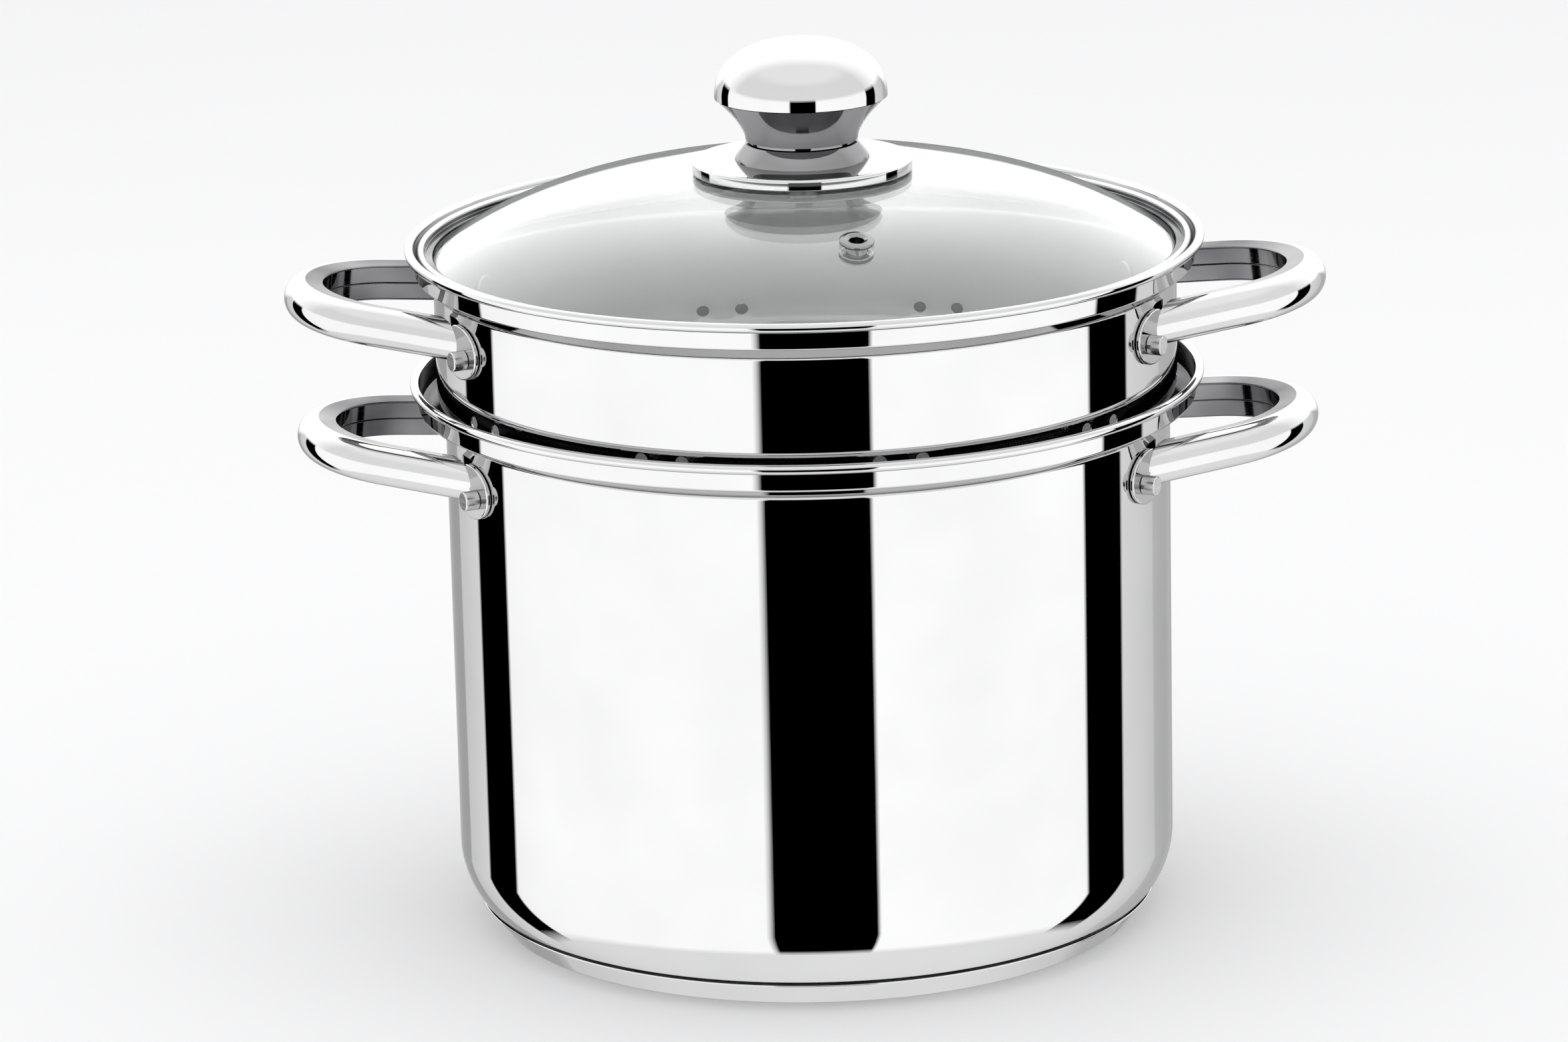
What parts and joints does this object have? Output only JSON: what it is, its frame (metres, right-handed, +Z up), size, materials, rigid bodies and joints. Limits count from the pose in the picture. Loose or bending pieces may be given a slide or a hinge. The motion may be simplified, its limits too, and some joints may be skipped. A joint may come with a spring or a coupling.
{
  "type": "pasta pot",
  "caption": "Tall steel pot with a lift-out perforated strainer insert, looped side handles and a domed glass lid with a steel knob.",
  "frame": {"origin": "centre of the base, on the surface the pot stands on", "axes": "+Z up along the pot's axis, +X towards the right-hand handles as seen from the front, -Y towards the viewer"},
  "size_m": [0.317, 0.2426, 0.272],
  "materials": {
    "polished_steel": "mirror-polished stainless steel",
    "satin_steel": "plain stainless steel of the rivets and knob fixings",
    "core_aluminium": "plain aluminium disc inside the base",
    "lid_glass": "clear tempered glass",
    "silicone": "pale silicone washer"
  },
  "bodies": {
    "pot": {"pot_body": "polished_steel", "base_cap": "polished_steel", "base_core": "core_aluminium", "pot_handle_left": "polished_steel", "pot_handle_right": "polished_steel", "pot_rivet_left_front": "satin_steel", "pot_rivet_left_rear": "satin_steel", "pot_rivet_right_front": "satin_steel", "pot_rivet_right_rear": "satin_steel"},
    "insert": {"insert_body": "polished_steel", "insert_handle_left": "polished_steel", "insert_handle_right": "polished_steel", "insert_rivet_left_front": "satin_steel", "insert_rivet_left_rear": "satin_steel", "insert_rivet_right_front": "satin_steel", "insert_rivet_right_rear": "satin_steel"},
    "lid": {"lid_glass": "lid_glass", "lid_rim": "polished_steel", "vent_eyelet": "polished_steel", "knob_flange": "polished_steel", "knob_neck": "polished_steel", "knob_cap": "polished_steel", "knob_boss": "satin_steel", "knob_screw": "satin_steel", "screw_washer": "satin_steel", "glass_gasket": "silicone"}
  },
  "joints": [
    {"name": "insert_lift", "type": "slide", "parent": "pot", "child": "insert", "axis": [0, 0, 1], "range_m": [0, 0.18]},
    {"name": "lid_lift", "type": "slide", "parent": "insert", "child": "lid", "axis": [0, 0, 1], "range_m": [0, 0.12]}
  ]
}
